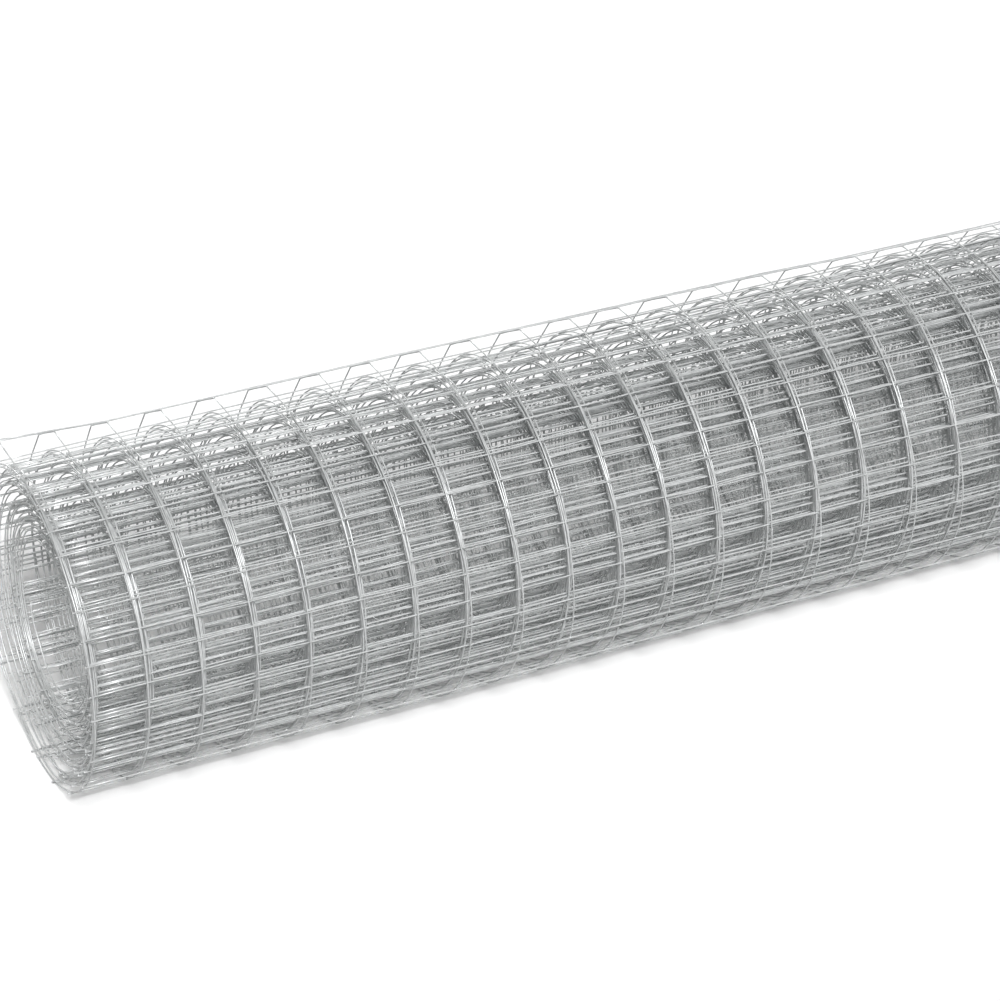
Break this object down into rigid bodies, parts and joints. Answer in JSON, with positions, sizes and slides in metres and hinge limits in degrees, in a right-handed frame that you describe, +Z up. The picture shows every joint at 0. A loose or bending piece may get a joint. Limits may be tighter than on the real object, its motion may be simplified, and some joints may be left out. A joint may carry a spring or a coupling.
{
  "type": "roll of welded wire fencing",
  "caption": "Lying roll of bright galvanised welded wire mesh fencing, wound on an open core with a loose outer turn.",
  "frame": {"origin": "on the floor under the middle of the lying roll", "axes": "+X along the roll's axis, +Y to the back of the roll, +Z up"},
  "size_m": [0.6126, 0.1516, 0.1562],
  "materials": {
    "galvanised_wire": "bright galvanised, semi-gloss"
  },
  "bodies": {
    "root": {"mesh_roll": "galvanised_wire"}
  },
  "joints": []
}
